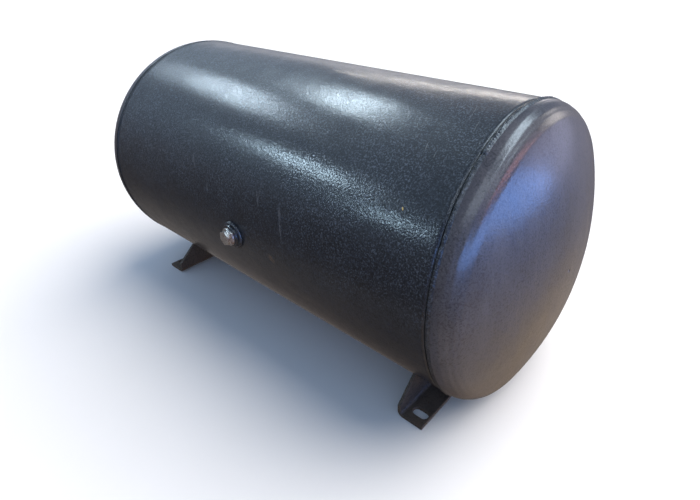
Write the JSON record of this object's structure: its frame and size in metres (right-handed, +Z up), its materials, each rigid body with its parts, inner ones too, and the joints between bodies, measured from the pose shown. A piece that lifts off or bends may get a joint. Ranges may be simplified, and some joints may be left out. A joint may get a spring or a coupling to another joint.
{
  "type": "horizontal pressure tank",
  "caption": "Horizontal welded steel air pressure tank with dished heads, plugged side ports and bent plate feet with bolt slots",
  "frame": {"origin": "on the floor plane, under the middle of the tank", "axes": "+X along the tank axis, +Y to the rear, away from the plugged front port's side, +Z up"},
  "size_m": [0.8206, 0.43, 0.4106],
  "materials": {
    "shell_paint": "gloss blue-black paint with fine orange peel",
    "head_paint": "gloss blue-black paint on a smooth pressed head",
    "weld_paint": "gloss blue-black paint over rippled weld beads",
    "boss_paint": "gloss blue-black paint on a turned boss",
    "saddle_paint": "black paint with brown dust on the flanges",
    "zinc": "bright zinc plate with light brown rust"
  },
  "bodies": {
    "root": {"shell": "shell_paint", "left_head": "head_paint", "right_head": "head_paint", "left_girth_weld": "weld_paint", "right_girth_weld": "weld_paint", "long_seam_weld": "weld_paint", "front_boss": "boss_paint", "front_boss_weld": "weld_paint", "front_plug": "zinc", "rear_boss": "boss_paint", "rear_boss_weld": "weld_paint", "rear_plug": "zinc", "left_saddle": "saddle_paint", "left_saddle_inner_weld": "weld_paint", "left_saddle_outer_weld": "weld_paint", "right_saddle": "saddle_paint", "right_saddle_inner_weld": "weld_paint", "right_saddle_outer_weld": "weld_paint"}
  },
  "joints": []
}
